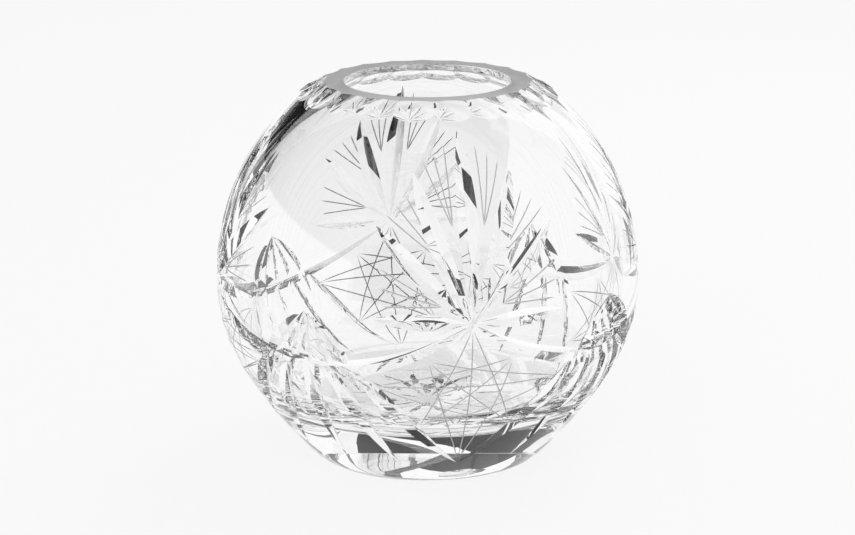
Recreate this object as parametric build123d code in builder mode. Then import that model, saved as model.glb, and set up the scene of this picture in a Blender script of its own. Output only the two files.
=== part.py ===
"""A cut crystal rose bowl: one ball-shaped glass vessel with a ground rim and wheel-cut decoration."""

from build123d import *
import math
import os
from dataclasses import dataclass

# Body, in millimetres and degrees. Heights are above the surface the bowl stands on.
BOWL_HEIGHT = 180.0
BELLY_DIAMETER = 199.0
BELLY_HEIGHT = 86.0
RIM_DIAMETER = 104.4
BELLY_CURVE = 78.3
BELLY_TURN = 30.6
LOWER_WALL_CURVE = 208.6
FOOT_CURVE = 15.0

# Hollow
MOUTH_DIAMETER = 77.6
MOUTH_WALL = 2.6
MOUTH_ROUNDING = 0.5
BELLY_WALL = 7.5
FLOOR_THICKNESS = 34.0
INNER_BELLY_CURVE = 74.0
INNER_BELLY_TURN = 24.0
INNER_WALL_CURVE = 170.0
INNER_FLOOR_CURVE = 32.0

# Thumbprint scallops ground into the rim's outer corner
SCALLOP_COUNT = 20
SCALLOP_WHEEL = 42.0
SCALLOP_ON_RIM = 4.6
SCALLOP_DROP = 7.0

# The decoration repeats round the body
REPEATS = 4
CUT_HALF_ANGLE = 63.0
CUT_OVERSHOOT = 3.0
CUT_HEADROOM = 2.0

# Fan of leaves, all growing from one hub above the belly
HUB_ABOVE_BELLY = 5.0
HUB_GAP = 2.0
TOP_LEAF_BELOW_RIM = 10.0
TOP_LEAF_DEPTH = 2.4
HIGH_LEAF_BELOW_RIM = 25.0
HIGH_LEAF_TURN = 16.4
HIGH_LEAF_DEPTH = 2.4
SIDE_LEAF_BELOW_RIM = 47.3
SIDE_LEAF_TURN = 26.0
SIDE_LEAF_DEPTH = 2.3
LOW_LEAF_RISE = 2.0
LOW_LEAF_TURN = 26.0
LOW_LEAF_DEPTH = 2.0

# Swag from hub to hub
SWAG_SAG = 24.0
SWAG_DEPTH = 2.4

# Sheaf of flutes midway between two hubs: a pointed head above the swag and a skirt below it
SHEAF_RISE = 2.0
HEAD_DROP = 36.0
HEAD_FLUTE_TURN = 7.6
HEAD_MIDDLE_TURN = 4.9
HEAD_DEPTH = 2.0
SKIRT_START_DROP = 20.0
SKIRT_START_TURN = 6.6
SKIRT_MIDDLE_TURN = 13.0
SKIRT_FOOT_TURN = 22.5
SKIRT_FOOT_HEIGHT = 15.5
SKIRT_DEPTH = 2.0
FLUTES_EACH_SIDE = 2

# Star cut under the base
BASE_STAR_RAYS = 16
BASE_STAR_EYE = 8.0
BASE_REST_RING = 6.0
BASE_STAR_DEPTH = 1.8


@dataclass
class BallProfile:
    """Half section of a ball: an upright rim, an arc to the belly, then three tangent arcs to a flat floor."""

    belly: float
    belly_height: float
    mouth: float
    mouth_height: float
    rim_height: float
    belly_curve: float
    belly_turn: float
    wall_curve: float
    floor_curve: float
    floor_height: float

    @property
    def shoulder_curve(self):
        """Radius of the arc that leaves the belly upright and reaches the mouth."""
        inset = self.belly - self.mouth
        rise = self.mouth_height - self.belly_height
        return (inset**2 + rise**2) / (2 * inset)

    @property
    def shoulder_centre(self):
        return Vector(self.belly - self.shoulder_curve, self.belly_height)

    @property
    def belly_centre(self):
        return Vector(self.belly - self.belly_curve, self.belly_height)

    @property
    def wall_centre(self):
        turn = math.radians(self.belly_turn)
        away = Vector(-math.cos(turn), math.sin(turn))
        return self.belly_centre + away * (self.wall_curve - self.belly_curve)

    @property
    def wall_end_turn(self):
        """Angle below the belly at which the wall meets the rounding of the floor."""
        drop = self.wall_centre.Y - self.floor_height - self.floor_curve
        return math.asin(drop / (self.wall_curve - self.floor_curve))

    @property
    def wall_top(self):
        turn = math.radians(self.belly_turn)
        return self.belly_centre + Vector(math.cos(turn), -math.sin(turn)) * self.belly_curve

    @property
    def wall_foot(self):
        turn = self.wall_end_turn
        return self.wall_centre + Vector(math.cos(turn), -math.sin(turn)) * self.wall_curve

    @property
    def floor_radius(self):
        """Radius of the flat part of the floor."""
        return self.wall_foot.X - self.floor_curve * math.cos(self.wall_end_turn)

    def arc(self, height):
        """Centre and radius of the arc that the section follows at a height."""
        if height >= self.belly_height:
            return self.shoulder_centre, self.shoulder_curve
        if height >= self.wall_top.Y:
            return self.belly_centre, self.belly_curve
        return self.wall_centre, self.wall_curve

    def half_section(self):
        """The closed half section, standing upright beside the Z axis."""
        floor_edge = Vector(self.floor_radius, self.floor_height)
        floor_middle = Vector(0, self.floor_height)
        mouth_edge = Vector(self.mouth, self.mouth_height)
        rim_edge = Vector(self.mouth, self.rim_height)
        rim_middle = Vector(0, self.rim_height)
        belly_edge = Vector(self.belly, self.belly_height)
        with BuildSketch(Plane.XZ) as section:
            with BuildLine():
                Line(floor_middle, floor_edge)
                RadiusArc(floor_edge, self.wall_foot, -self.floor_curve)
                RadiusArc(self.wall_foot, self.wall_top, -self.wall_curve)
                RadiusArc(self.wall_top, belly_edge, -self.belly_curve)
                RadiusArc(belly_edge, mouth_edge, -self.shoulder_curve)
                if self.rim_height > self.mouth_height:
                    Line(mouth_edge, rim_edge)
                Line(rim_edge, rim_middle)
                Line(rim_middle, floor_middle)
            make_face()
        return section.sketch


OUTSIDE = BallProfile(
    belly=BELLY_DIAMETER / 2,
    belly_height=BELLY_HEIGHT,
    mouth=RIM_DIAMETER / 2,
    mouth_height=BOWL_HEIGHT,
    rim_height=BOWL_HEIGHT,
    belly_curve=BELLY_CURVE,
    belly_turn=BELLY_TURN,
    wall_curve=LOWER_WALL_CURVE,
    floor_curve=FOOT_CURVE,
    floor_height=0.0,
)
INSIDE = BallProfile(
    belly=BELLY_DIAMETER / 2 - BELLY_WALL,
    belly_height=BELLY_HEIGHT,
    mouth=MOUTH_DIAMETER / 2,
    mouth_height=BOWL_HEIGHT - MOUTH_WALL,
    rim_height=BOWL_HEIGHT,
    belly_curve=INNER_BELLY_CURVE,
    belly_turn=INNER_BELLY_TURN,
    wall_curve=INNER_WALL_CURVE,
    floor_curve=INNER_FLOOR_CURVE,
    floor_height=FLOOR_THICKNESS,
)


@dataclass
class WallPoint:
    """A point on the glass and the direction straight out of it."""

    position: Vector
    outward: Vector


def on_wall(turn, height):
    """The point of the outer wall at an angle round the body, from the front, and a height."""
    centre, radius = OUTSIDE.arc(height)
    rise = (height - centre.Y) / radius
    reach = math.sqrt(1 - rise**2)
    around = Vector(math.sin(math.radians(turn)), -math.cos(math.radians(turn)), 0)
    position = around * (centre.X + radius * reach) + Vector(0, 0, height)
    return WallPoint(position, around * reach + Vector(0, 0, rise))


def under_base(turn, radius):
    """The point of the flat base at an angle round the body and a radius."""
    around = Vector(math.sin(math.radians(turn)), -math.cos(math.radians(turn)), 0)
    return WallPoint(around * radius, Vector(0, 0, -1))


def circle_through(first, second, third):
    """Centre and axis direction of the circle through three points."""
    a = first - second
    b = third - second
    normal = a.cross(b)
    to_centre = (b * a.dot(a) - a * b.dot(b)).cross(normal) * (0.5 / normal.dot(normal))
    return second + to_centre, normal.normalized()


def groove(start, middle, end, depth, half_angle=CUT_HALF_ANGLE):
    """A V-shaped wheel cut. Its valley runs between two points of the glass, deepest under a middle one."""
    valley = middle.position - middle.outward * depth
    centre, direction = circle_through(start.position, valley, end.position)
    axis = Axis(centre, direction)
    arm = valley - centre
    along = direction.cross(arm).normalized()
    outward = (middle.outward - along * middle.outward.dot(along)).normalized()
    overshoot = math.degrees(CUT_OVERSHOOT / arm.length)
    before = arm.get_signed_angle(start.position - centre, direction)
    after = arm.get_signed_angle(end.position - centre, direction)
    first, last = min(before, after) - overshoot, max(before, after) + overshoot
    turned = Plane(
        origin=centre + arm.rotate(axis, first),
        x_dir=outward.cross(along).rotate(axis, first),
        z_dir=along.rotate(axis, first),
    )
    height = depth + CUT_HEADROOM
    spread = height * math.tan(math.radians(half_angle))
    with BuildPart() as wheel_cut:
        with BuildSketch(turned):
            with BuildLine():
                Polyline((0, 0), (spread, height), (-spread, height), close=True)
            make_face()
        revolve(axis=axis, revolution_arc=last - first)
    return wheel_cut.part


HUB_HEIGHT = BELLY_HEIGHT + HUB_ABOVE_BELLY
REPEAT_TURN = 360 / REPEATS
SHEAF_TURN = REPEAT_TURN / 2


def leaf(turn, height, depth):
    """One leaf of the fan, from just off the hub to its tip."""
    tip = on_wall(turn, height)
    hub = on_wall(0, HUB_HEIGHT)
    reach = (tip.position - hub.position).length
    share = HUB_GAP / reach
    start = on_wall(turn * share, HUB_HEIGHT + (height - HUB_HEIGHT) * share)
    middle = on_wall(turn * (1 + share) / 2, HUB_HEIGHT + (height - HUB_HEIGHT) * (1 + share) / 2)
    return groove(start, middle, tip, depth)


def fan():
    """The leaves of one fan."""
    leaves = [leaf(0, BOWL_HEIGHT - TOP_LEAF_BELOW_RIM, TOP_LEAF_DEPTH)]
    for side in (-1, 1):
        leaves.append(leaf(side * HIGH_LEAF_TURN, BOWL_HEIGHT - HIGH_LEAF_BELOW_RIM, HIGH_LEAF_DEPTH))
        leaves.append(leaf(side * SIDE_LEAF_TURN, BOWL_HEIGHT - SIDE_LEAF_BELOW_RIM, SIDE_LEAF_DEPTH))
        leaves.append(leaf(side * LOW_LEAF_TURN, HUB_HEIGHT + LOW_LEAF_RISE, LOW_LEAF_DEPTH))
    return leaves


def swag():
    """The groove that hangs from one hub to the next."""
    start = on_wall(0, HUB_HEIGHT)
    low = on_wall(SHEAF_TURN, HUB_HEIGHT - SWAG_SAG)
    end = on_wall(REPEAT_TURN, HUB_HEIGHT)
    return groove(start, low, end, SWAG_DEPTH)


def sheaf():
    """The flutes between two hubs: the head runs down from its apex and the skirt spreads to the foot."""
    apex_height = HUB_HEIGHT + SHEAF_RISE
    head_end = apex_height - HEAD_DROP
    skirt_start = HUB_HEIGHT - SKIRT_START_DROP
    flutes = []
    for step in range(-FLUTES_EACH_SIDE, FLUTES_EACH_SIDE + 1):
        apex = on_wall(SHEAF_TURN, apex_height)
        middle = on_wall(SHEAF_TURN + step * HEAD_MIDDLE_TURN, (apex_height + head_end) / 2)
        end = on_wall(SHEAF_TURN + step * HEAD_FLUTE_TURN, head_end)
        flutes.append(groove(apex, middle, end, HEAD_DEPTH))
        top = on_wall(SHEAF_TURN + step * SKIRT_START_TURN, skirt_start)
        middle = on_wall(SHEAF_TURN + step * SKIRT_MIDDLE_TURN, (skirt_start + SKIRT_FOOT_HEIGHT) / 2)
        foot = on_wall(SHEAF_TURN + step * SKIRT_FOOT_TURN, SKIRT_FOOT_HEIGHT)
        flutes.append(groove(top, middle, foot, SKIRT_DEPTH))
    return flutes


def base_ray():
    """One ray of the star under the base."""
    inner = BASE_STAR_EYE / 2
    outer = OUTSIDE.floor_radius - BASE_REST_RING
    middle = under_base(0, (inner + outer) / 2)
    return groove(under_base(0, inner), middle, under_base(0, outer), BASE_STAR_DEPTH)


def scallop_centre():
    """Centre of the wheel that grinds a scallop, in the plane of the X and Z axes."""
    on_rim = Vector(RIM_DIAMETER / 2 - SCALLOP_ON_RIM, 0, BOWL_HEIGHT)
    on_shoulder = on_wall(90, BOWL_HEIGHT - SCALLOP_DROP).position
    chord = on_shoulder - on_rim
    away = Vector(-chord.Z, 0, chord.X).normalized()
    return (on_rim + on_shoulder) * 0.5 + away * math.sqrt(SCALLOP_WHEEL**2 - (chord.length / 2) ** 2)


wheel = scallop_centre()
pattern = [*fan(), swag(), *sheaf()]
star_ray = base_ray()

with BuildPart() as glass_bowl:
    revolve(OUTSIDE.half_section(), axis=Axis.Z)
    revolve(INSIDE.half_section(), axis=Axis.Z, mode=Mode.SUBTRACT)
    rim_edges = glass_bowl.edges().filter_by(GeomType.CIRCLE).group_by(Axis.Z)[-1]
    fillet(rim_edges.sort_by(SortBy.RADIUS)[0], MOUTH_ROUNDING)
    with Locations((0, 0, wheel.Z)):
        with PolarLocations(wheel.X, SCALLOP_COUNT):
            Sphere(SCALLOP_WHEEL, mode=Mode.SUBTRACT)
    with PolarLocations(0, REPEATS):
        for cut in pattern:
            add(cut, mode=Mode.SUBTRACT)
    with PolarLocations(0, BASE_STAR_RAYS):
        add(star_ray, mode=Mode.SUBTRACT)
glass_bowl.part.label = "glass_bowl"

os.makedirs("parts", exist_ok=True)
export_step(glass_bowl.part, "parts/glass_bowl.step")
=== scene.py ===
"""A cut crystal rose bowl on a pale floor: the glass, its engraved lines, its finishes and the studio."""

import logging
import math
from dataclasses import dataclass, field
from enum import Enum

import bmesh
import bpy
from mathutils import Matrix, Vector


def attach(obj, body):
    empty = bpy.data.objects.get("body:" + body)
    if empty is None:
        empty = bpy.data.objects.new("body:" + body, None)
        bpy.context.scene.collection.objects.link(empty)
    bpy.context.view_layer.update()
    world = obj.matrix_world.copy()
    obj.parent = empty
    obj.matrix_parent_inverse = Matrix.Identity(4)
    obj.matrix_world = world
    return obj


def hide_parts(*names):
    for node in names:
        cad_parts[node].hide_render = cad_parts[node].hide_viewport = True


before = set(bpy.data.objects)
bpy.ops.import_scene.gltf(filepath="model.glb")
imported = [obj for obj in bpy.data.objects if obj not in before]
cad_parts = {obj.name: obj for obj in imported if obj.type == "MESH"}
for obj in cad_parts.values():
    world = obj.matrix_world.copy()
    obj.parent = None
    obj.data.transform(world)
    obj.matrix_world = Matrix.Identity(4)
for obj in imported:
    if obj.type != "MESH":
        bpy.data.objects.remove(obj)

log = logging.getLogger("rose_bowl")

MM = 0.001
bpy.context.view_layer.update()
PHOTO_WIDTH = 855
GLASS_BOUNCES = 32
GLOSSY_BOUNCES = 16

Place = tuple[float, float]
Point = tuple[float, float, float]


class Surface(Enum):
    """The kinds of glass surface, by material slot."""

    POLISHED = 0
    ENGRAVED = 1
    GROUND = 2


@dataclass(frozen=True)
class WallPoint:
    """A point on the outside of the glass and the direction straight out of it."""

    position: Vector
    outward: Vector


@dataclass(frozen=True)
class BowlWall:
    """The outside of the bowl as arcs turned about the upright axis, in millimetres."""

    height: float = 180.0
    belly: float = 99.5
    belly_height: float = 86.0
    rim: float = 52.2
    belly_curve: float = 78.3
    belly_turn: float = 30.6
    lower_curve: float = 208.6
    lowest: float = 14.0
    tolerance: float = 0.01

    def section(self, height: float) -> tuple[float, float, float]:
        """The arc that the wall follows at a height.

        Args:
            height: height above the floor, in millimetres.

        Returns:
            The arc's centre, as a radius and a height, and its own radius.
        """
        if height >= self.belly_height:
            inset = self.belly - self.rim
            rise = self.height - self.belly_height
            curve = (inset**2 + rise**2) / (2 * inset)
            return self.belly - curve, self.belly_height, curve
        turn = math.radians(self.belly_turn)
        centre = self.belly - self.belly_curve
        if height >= self.belly_height - self.belly_curve * math.sin(turn):
            return centre, self.belly_height, self.belly_curve
        reach = self.lower_curve - self.belly_curve
        return centre - reach * math.cos(turn), self.belly_height + reach * math.sin(turn), self.lower_curve

    def point(self, turn: float, height: float) -> WallPoint:
        """A point of the wall.

        Args:
            turn: angle round the body from the middle of the front fan, in degrees.
            height: height above the floor, in millimetres.

        Returns:
            The point, in metres, with its outward direction.
        """
        centre, centre_height, curve = self.section(height)
        rise = (height - centre_height) / curve
        reach = math.sqrt(1 - rise**2)
        around = Vector((math.sin(math.radians(turn)), -math.cos(math.radians(turn)), 0))
        position = (around * (centre + curve * reach) + Vector((0, 0, height))) * MM
        return WallPoint(position, around * reach + Vector((0, 0, rise)))

    def normal_at(self, place: Vector) -> Vector | None:
        """The outward direction at a place on the wall.

        Args:
            place: a point of the glass, in metres.

        Returns:
            The direction, or nothing where the place is off this wall.
        """
        height = place.z / MM
        if not self.lowest <= height <= self.height:
            return None
        centre, centre_height, curve = self.section(height)
        radius = math.hypot(place.x, place.y) / MM
        level, rise = radius - centre, height - centre_height
        if abs(math.hypot(level, rise) - curve) > self.tolerance:
            return None
        around = Vector((place.x, place.y, 0)).normalized()
        return (around * level + Vector((0, 0, rise))).normalized()


@dataclass(frozen=True)
class EngravedLine:
    """A fine V line between two points of the wall, in degrees round the body and millimetres of height."""

    start: Place
    end: Place
    depth: float = 0.4
    half_width: float = 0.33
    headroom: float = 0.3
    taper: float = 0.12
    end_lift: float = 0.1
    steps: int = 16

    def cutter(self, bm: bmesh.types.BMesh, wall: BowlWall, repeat_turn: float) -> None:
        """Adds the closed wedge that cuts this line.

        Args:
            bm: the mesh that takes the wedge.
            wall: the wall that the line lies on.
            repeat_turn: angle of this copy of the pattern, in degrees.
        """
        start = wall.point(self.start[0] + repeat_turn, self.start[1]).position
        end = wall.point(self.end[0] + repeat_turn, self.end[1]).position
        last = self.section(wall, start, end, 0)
        tip = bm.faces.new([bm.verts.new(corner) for corner in last])
        for step in range(1, self.steps + 1):
            here = self.section(wall, start, end, step / self.steps)
            grown = bmesh.ops.extrude_face_region(bm, geom=[tip])["geom"]
            if step > 1:
                bm.faces.remove(tip)
            tip = next(part for part in grown if isinstance(part, bmesh.types.BMFace))
            for vert in tip.verts:
                corner = min(range(len(last)), key=lambda i: (last[i] - vert.co).length)
                vert.co = here[corner]
            last = here

    def section(self, wall: BowlWall, start: Vector, end: Vector, share: float) -> list[Vector]:
        """The wedge's three corners at one place along the line.

        Args:
            wall: the wall that the line lies on.
            start: where the line starts, in metres.
            end: where it ends, in metres.
            share: how far along the line, from 0 to 1.

        Returns:
            The bottom corner and the two corners outside the glass.
        """
        chord = start.lerp(end, share)
        turn = math.degrees(math.atan2(chord.x, -chord.y))
        place = wall.point(turn, chord.z / MM)
        across = place.outward.cross(end - start).normalized()
        depth = self.depth * (min(1, share / self.taper, (1 - share) / self.taper) - self.end_lift)
        spread = (depth + self.headroom) * self.half_width / self.depth
        bottom = place.position - place.outward * depth * MM
        top = place.position + place.outward * self.headroom * MM
        return [bottom, top + across * spread * MM, top - across * spread * MM]


@dataclass(frozen=True)
class FineLines:
    """The fine lines of one repeat: rays between the leaves of the fan and the star under it."""

    ray_sets: tuple[tuple[Place, tuple[Place, ...]], ...] = (
        ((-7.5, 99.0), ((-23.6, 98.7), (-24.6, 107.0), (-24.6, 115.5))),
        ((-7.6, 118.5), ((-24.0, 138.0), (-21.2, 142.0), (-18.4, 146.0))),
        ((-4.4, 132.0), ((-13.2, 158.8), (-9.8, 162.0), (-5.8, 165.4))),
        ((4.4, 132.0), ((13.2, 158.8), (9.8, 162.0), (5.8, 165.4))),
        ((7.6, 118.5), ((24.0, 138.0), (21.2, 142.0), (18.4, 146.0))),
        ((7.5, 99.0), ((23.6, 98.7), (24.6, 107.0), (24.6, 115.5))),
    )
    star_points: tuple[Place, ...] = (
        (0.0, 89.0),
        (11.2, 74.0),
        (26.0, 61.0),
        (14.4, 38.0),
        (0.0, 17.5),
        (-14.4, 38.0),
        (-26.0, 61.0),
        (-11.2, 74.0),
    )
    star_skip: int = 3

    def lines(self) -> list[EngravedLine]:
        """Lists the lines of one repeat.

        Returns:
            The rays, and then the chords and diagonals of the star.
        """
        made = []
        for root, tips in self.ray_sets:
            made += [EngravedLine(root, tip) for tip in tips]
        count = len(self.star_points)
        for i in range(count):
            made.append(EngravedLine(self.star_points[i], self.star_points[(i + self.star_skip) % count]))
        for i in range(count // 2):
            made.append(EngravedLine(self.star_points[i], self.star_points[i + count // 2]))
        return made


@dataclass(frozen=True)
class CrystalFinish:
    """Clear polished lead crystal with a slightly uneven surface."""

    name: str = "polished_crystal"
    ior: float = 1.545
    roughness: float = 0.0
    wave_scale: float = 22.0
    wave_detail: float = 1.0
    wave_height: float = 0.10

    def material(self) -> bpy.types.Material:
        """Builds the material.

        Returns:
            The crystal, waved by noise on Object coordinates.
        """
        material = bpy.data.materials.new(self.name)
        material.use_nodes = True
        nodes, links = material.node_tree.nodes, material.node_tree.links
        shader = nodes["Principled BSDF"]
        shader.inputs["Base Color"].default_value = (1, 1, 1, 1)
        shader.inputs["Transmission Weight"].default_value = 1.0
        shader.inputs["IOR"].default_value = self.ior
        shader.inputs["Roughness"].default_value = self.roughness
        coordinates = nodes.new("ShaderNodeTexCoord")
        wave = nodes.new("ShaderNodeTexNoise")
        wave.inputs["Scale"].default_value = self.wave_scale
        wave.inputs["Detail"].default_value = self.wave_detail
        bump = nodes.new("ShaderNodeBump")
        bump.inputs["Strength"].default_value = 1.0
        bump.inputs["Distance"].default_value = self.wave_height * MM
        links.new(coordinates.outputs["Object"], wave.inputs["Vector"])
        links.new(wave.outputs["Fac"], bump.inputs["Height"])
        links.new(bump.outputs["Normal"], shader.inputs["Normal"])
        return material


@dataclass(frozen=True)
class MattFinish:
    """Glass that is left unpolished: a fine engraved line, unless other values are given."""

    name: str = "engraved_crystal"
    ior: float = 1.545
    roughness: float = 0.6
    tone: float = 0.75
    clearness: float = 0.12

    def material(self) -> bpy.types.Material:
        """Builds the material.

        Returns:
            Crystal with a fine matt grain.
        """
        material = bpy.data.materials.new(self.name)
        material.use_nodes = True
        shader = material.node_tree.nodes["Principled BSDF"]
        shader.inputs["Base Color"].default_value = (self.tone, self.tone, self.tone, 1)
        shader.inputs["Transmission Weight"].default_value = self.clearness
        shader.inputs["IOR"].default_value = self.ior
        shader.inputs["Roughness"].default_value = self.roughness
        return material


@dataclass
class CutBowl:
    """The bowl: the CAD glass with the fine lines engraved in it."""

    node: str = "glass_bowl"
    name: str = "cut_bowl"
    repeats: int = 4
    wall: BowlWall = field(default_factory=BowlWall)
    hollow: BowlWall = BowlWall(
        height=177.4,
        belly=92.0,
        belly_height=86.0,
        rim=38.8,
        belly_curve=74.0,
        belly_turn=24.0,
        lower_curve=170.0,
        lowest=53.0,
    )
    fine_lines: FineLines = field(default_factory=FineLines)
    crystal: CrystalFinish = field(default_factory=CrystalFinish)
    engraved: MattFinish = field(default_factory=MattFinish)
    ground: MattFinish = MattFinish("ground_crystal", roughness=0.45, tone=0.6, clearness=0.45)
    rim_band: float = 0.1
    merge_distance: float = 2e-6
    crease_angle: float = 14.0
    same_way: float = 0.985

    def build(self) -> bpy.types.Object:
        """Copies the CAD glass, engraves it and dresses it.

        Returns:
            The finished bowl, which stands for the CAD node.
        """
        bowl = self.copy_glass()
        self.engrave(bowl)
        self.grind_rim(bowl)
        self.shade(bowl)
        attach(bowl, "root")
        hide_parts(self.node)
        return bowl

    def copy_glass(self) -> bpy.types.Object:
        """Makes a merged copy of the CAD node's mesh.

        Returns:
            The plain glass, with a material slot for each kind of surface.
        """
        bm = bmesh.new()
        bm.from_mesh(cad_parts[self.node].data)
        bmesh.ops.remove_doubles(bm, verts=bm.verts, dist=self.merge_distance)
        bmesh.ops.dissolve_degenerate(bm, edges=bm.edges, dist=self.merge_distance)
        bm.verts.index_update()
        mesh = bpy.data.meshes.new(self.name)
        mesh.from_pydata([v.co for v in bm.verts], [], [[v.index for v in f.verts] for f in bm.faces])
        open_edges = sum(1 for edge in bm.edges if not edge.is_manifold)
        log.info("glass copy: %d faces, %d open edges", len(bm.faces), open_edges)
        bm.free()
        mesh.materials.append(self.crystal.material())
        mesh.materials.append(self.engraved.material())
        mesh.materials.append(self.ground.material())
        mesh.polygons.foreach_set("material_index", [Surface.POLISHED.value] * len(mesh.polygons))
        bowl = bpy.data.objects.new(self.name, mesh)
        bpy.context.scene.collection.objects.link(bowl)
        return bowl

    def engrave(self, bowl: bpy.types.Object) -> None:
        """Cuts the fine lines, one line of every repeat at a time.

        Args:
            bowl: the glass to cut.
        """
        for number, line in enumerate(self.fine_lines.lines()):
            bm = bmesh.new()
            for repeat in range(self.repeats):
                line.cutter(bm, self.wall, repeat * 360 / self.repeats)
            bmesh.ops.recalc_face_normals(bm, faces=bm.faces)
            for face in bm.faces:
                face.material_index = Surface.ENGRAVED.value
            mesh = bpy.data.meshes.new(f"line_{number}")
            bm.to_mesh(mesh)
            bm.free()
            for material in bowl.data.materials:
                mesh.materials.append(material)
            cutter = bpy.data.objects.new(mesh.name, mesh)
            bpy.context.scene.collection.objects.link(cutter)
            cut = bowl.modifiers.new(mesh.name, "BOOLEAN")
            cut.operation = "DIFFERENCE"
            cut.solver = "MANIFOLD"
            cut.object = cutter
            self.apply(bowl)
            bpy.data.objects.remove(cutter)
            bpy.data.meshes.remove(mesh)

    @staticmethod
    def apply(bowl: bpy.types.Object) -> None:
        """Makes the modified shape the object's own mesh.

        Args:
            bowl: the glass with its modifier.
        """
        depsgraph = bpy.context.evaluated_depsgraph_get()
        made = bpy.data.meshes.new_from_object(bowl.evaluated_get(depsgraph))
        old = bowl.data
        bowl.modifiers.clear()
        bowl.data = made
        bpy.data.meshes.remove(old)

    def grind_rim(self, bowl: bpy.types.Object) -> None:
        """Leaves the flat top of the rim matt, as it comes off the grinding wheel.

        Args:
            bowl: the engraved glass.
        """
        top = (self.wall.height - self.rim_band) * MM
        for polygon in bowl.data.polygons:
            if polygon.center.z > top:
                polygon.material_index = Surface.GROUND.value

    def shade(self, bowl: bpy.types.Object) -> None:
        """Keeps the cuts' edges sharp and gives the plain walls the normals of their turned shape.

        Args:
            bowl: the engraved glass.
        """
        mesh = bowl.data
        mesh.shade_smooth()
        mesh.set_sharp_from_angle(angle=math.radians(self.crease_angle))
        outward = [self.wall.normal_at(v.co) for v in mesh.vertices]
        inward = [self.hollow.normal_at(v.co) for v in mesh.vertices]
        normals = [corner.vector.copy() for corner in mesh.corner_normals]
        for polygon in mesh.polygons:
            corners = list(zip(polygon.loop_indices, polygon.vertices))
            if all(outward[v] and outward[v].dot(polygon.normal) > self.same_way for _, v in corners):
                for loop, v in corners:
                    normals[loop] = outward[v]
            elif all(inward[v] and inward[v].dot(polygon.normal) < -self.same_way for _, v in corners):
                for loop, v in corners:
                    normals[loop] = -inward[v]
        mesh.normals_split_custom_set(normals)


@dataclass(frozen=True)
class PhotoCamera:
    """The camera at the photograph's viewing angle."""

    azimuth: float = -11.5
    elevation: float = 15.45
    distance: float = 1.2428
    aim_height: float = 0.0898
    focal_pixels: float = 2629.0
    sensor_mm: float = 36.0

    def build(self) -> bpy.types.Object:
        """Makes the camera and gives it to the scene.

        Returns:
            The camera object.
        """
        data = bpy.data.cameras.new("photo_camera")
        data.sensor_width = self.sensor_mm
        data.lens = self.focal_pixels / PHOTO_WIDTH * self.sensor_mm
        camera = bpy.data.objects.new("photo_camera", data)
        turn, rise = math.radians(self.azimuth), math.radians(self.elevation)
        back = Vector((math.sin(turn) * math.cos(rise), -math.cos(turn) * math.cos(rise), math.sin(rise)))
        camera.location = Vector((0, 0, self.aim_height)) + back * self.distance
        camera.rotation_euler = back.to_track_quat("Z", "Y").to_euler()
        bpy.context.scene.collection.objects.link(camera)
        bpy.context.scene.camera = camera
        return camera


@dataclass(frozen=True)
class DarkCard:
    """A dark card that stands or hangs beside the picture and gives the clear glass its dark edges.

    Its corners are measured across the picture, away from the camera and up, in metres from the bowl's axis.
    """

    name: str
    corners: tuple[Point, ...]
    tone: float = 0.02
    roughness: float = 1.0

    def build(self, turn: float) -> bpy.types.Object:
        """Makes the card, which only reflections and the view through the glass show.

        Args:
            turn: angle of the camera round the bowl, in degrees, which the corners are turned by.

        Returns:
            The card.
        """
        about_axis = Matrix.Rotation(math.radians(turn), 3, "Z")
        bm = bmesh.new()
        bm.faces.new([bm.verts.new(corner) for corner in self.corners])
        bmesh.ops.rotate(bm, verts=bm.verts, cent=(0, 0, 0), matrix=about_axis)
        mesh = bpy.data.meshes.new(self.name)
        bm.to_mesh(mesh)
        bm.free()
        material = bpy.data.materials.new(self.name)
        material.use_nodes = True
        shader = material.node_tree.nodes["Principled BSDF"]
        shader.inputs["Base Color"].default_value = (self.tone, self.tone, self.tone, 1)
        shader.inputs["Roughness"].default_value = self.roughness
        shader.inputs["Specular IOR Level"].default_value = 0.0
        mesh.materials.append(material)
        card = bpy.data.objects.new(self.name, mesh)
        card.visible_camera = False
        card.visible_diffuse = False
        card.visible_shadow = False
        bpy.context.scene.collection.objects.link(card)
        return card


@dataclass(frozen=True)
class SoftLamp:
    """A soft round lamp that lights matt surfaces and leaves no blot of its own in the glass."""

    name: str
    place: Point
    size: float
    power: float
    aim: Point = (0.0, 0.0, 0.1)

    def build(self) -> bpy.types.Object:
        """Makes the lamp and points it at the bowl.

        Returns:
            The lamp object.
        """
        light = bpy.data.lights.new(self.name, "AREA")
        light.shape = "DISK"
        light.size = self.size
        light.energy = self.power
        lamp = bpy.data.objects.new(self.name, light)
        lamp.location = self.place
        lamp.rotation_euler = (Vector(self.aim) - lamp.location).to_track_quat("-Z", "Y").to_euler()
        lamp.visible_glossy = False
        lamp.visible_transmission = False
        bpy.context.scene.collection.objects.link(lamp)
        return lamp


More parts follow.
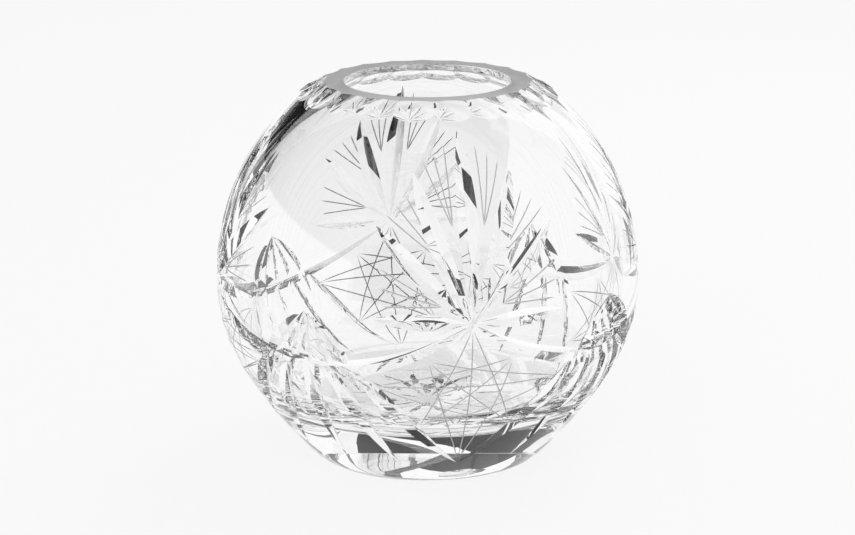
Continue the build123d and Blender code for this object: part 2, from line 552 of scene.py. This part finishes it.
@dataclass
class Studio:
    """The pale floor, the white surround, the dark cards beside the picture and the soft lights."""

    floor_size: float = 6.0
    floor_tone: float = 0.82
    floor_roughness: float = 0.9
    shadow_share: float = 0.12
    floor_gap: float = 0.0002
    world_tone: float = 0.45
    camera_turn: float = PhotoCamera.azimuth
    cards: tuple[DarkCard, ...] = (
        DarkCard(
            "left_card",
            ((-0.5, -1.0, 0.28), (-0.5, 1.0, 0.28), (-0.5, 1.0, 1.5), (-0.5, -1.0, 1.5)),
        ),
        DarkCard(
            "left_strip",
            ((-0.30, 0.35, 0), (-0.45, 1.27, 0), (-0.45, 1.27, 0.14), (-0.30, 0.35, 0.10)),
        ),
        DarkCard(
            "right_strip",
            ((0.30, 0.35, 0), (0.45, 1.27, 0), (0.45, 1.27, 0.10), (0.30, 0.35, 0.08)),
        ),
        DarkCard(
            "rear_card",
            ((-1.5, -1.7, 0), (1.5, -1.7, 0), (1.5, -1.7, 1.5), (-1.5, -1.7, 1.5)),
        ),
        DarkCard(
            "upper_card",
            ((-1.5, -1.7, 1.5), (1.5, -1.7, 1.5), (1.0, 0.3, 1.5), (-1.5, 0.3, 1.5)),
        ),
        DarkCard(
            "far_card",
            ((-0.8, 1.5, 0.30), (0.5, 1.5, 0.30), (0.5, 1.5, 0.75), (-0.8, 1.5, 0.75)),
        ),
    )
    lamps: tuple[SoftLamp, ...] = (
        SoftLamp("softbox", (0.7, 0.6, 1.1), size=0.9, power=6.0),
        SoftLamp("front_fill", (-0.5, -1.2, 0.9), size=0.8, power=6.0),
    )

    def build(self) -> None:
        """Builds the floor, the world, the cards and the lamps."""
        self.floor()
        self.world()
        for card in self.cards:
            card.build(self.camera_turn)
        for lamp in self.lamps:
            lamp.build()

    @staticmethod
    def shows_white(nodes: bpy.types.Nodes, links: bpy.types.NodeLinks) -> bpy.types.NodeSocket:
        """Tells the rays that meet the white background: from the camera, off the glass and through it.

        Args:
            nodes: the nodes of the floor or the world.
            links: their links.

        Returns:
            The socket, which is 1 for such a ray and 0 for any other.
        """
        path = nodes.new("ShaderNodeLightPath")
        glass = nodes.new("ShaderNodeMath")
        glass.operation = "MAXIMUM"
        shown = nodes.new("ShaderNodeMath")
        shown.operation = "MAXIMUM"
        links.new(path.outputs["Is Glossy Ray"], glass.inputs[0])
        links.new(path.outputs["Is Transmission Ray"], glass.inputs[1])
        links.new(path.outputs["Is Camera Ray"], shown.inputs[0])
        links.new(glass.outputs[0], shown.inputs[1])
        return shown.outputs[0]

    def floor(self) -> None:
        """A pale floor that shows as white, with the bowl's shadow on it."""
        bm = bmesh.new()
        bmesh.ops.create_grid(bm, x_segments=1, y_segments=1, size=self.floor_size / 2)
        mesh = bpy.data.meshes.new("floor")
        bm.to_mesh(mesh)
        bm.free()
        floor = bpy.data.objects.new("floor", mesh)
        floor.location.z = -self.floor_gap
        bpy.context.scene.collection.objects.link(floor)
        material = bpy.data.materials.new("pale_floor")
        material.use_nodes = True
        nodes, links = material.node_tree.nodes, material.node_tree.links
        shader = nodes["Principled BSDF"]
        shader.inputs["Base Color"].default_value = (self.floor_tone, self.floor_tone, self.floor_tone, 1)
        shader.inputs["Roughness"].default_value = self.floor_roughness
        white = nodes.new("ShaderNodeEmission")
        shadowed = nodes.new("ShaderNodeMixShader")
        shadowed.inputs["Fac"].default_value = self.shadow_share
        surface = nodes.new("ShaderNodeMixShader")
        links.new(white.outputs[0], shadowed.inputs[1])
        links.new(shader.outputs[0], shadowed.inputs[2])
        links.new(self.shows_white(nodes, links), surface.inputs["Fac"])
        links.new(shader.outputs[0], surface.inputs[1])
        links.new(shadowed.outputs[0], surface.inputs[2])
        links.new(surface.outputs[0], nodes["Material Output"].inputs["Surface"])
        mesh.materials.append(material)

    def world(self) -> None:
        """A plain soft light from all round, which shows as white."""
        world = bpy.data.worlds.new("studio")
        bpy.context.scene.world = world
        world.use_nodes = True
        nodes, links = world.node_tree.nodes, world.node_tree.links
        tone = nodes.new("ShaderNodeMix")
        tone.data_type = "RGBA"
        tone.inputs["A"].default_value = (self.world_tone, self.world_tone, self.world_tone, 1)
        tone.inputs["B"].default_value = (1, 1, 1, 1)
        links.new(self.shows_white(nodes, links), tone.inputs["Factor"])
        links.new(tone.outputs["Result"], nodes["Background"].inputs["Color"])


def main() -> None:
    """Builds the camera, the studio and the bowl."""
    logging.basicConfig(level=logging.INFO, format="%(name)s: %(message)s")
    scene = bpy.context.scene
    scene.view_settings.view_transform = "Standard"
    scene.cycles.max_bounces = GLASS_BOUNCES
    scene.cycles.transmission_bounces = GLASS_BOUNCES
    scene.cycles.glossy_bounces = GLOSSY_BOUNCES
    PhotoCamera().build()
    Studio().build()
    bowl = CutBowl().build()
    log.info("%s: %d faces", bowl.name, len(bowl.data.polygons))


if __name__ == "__main__":
    main()
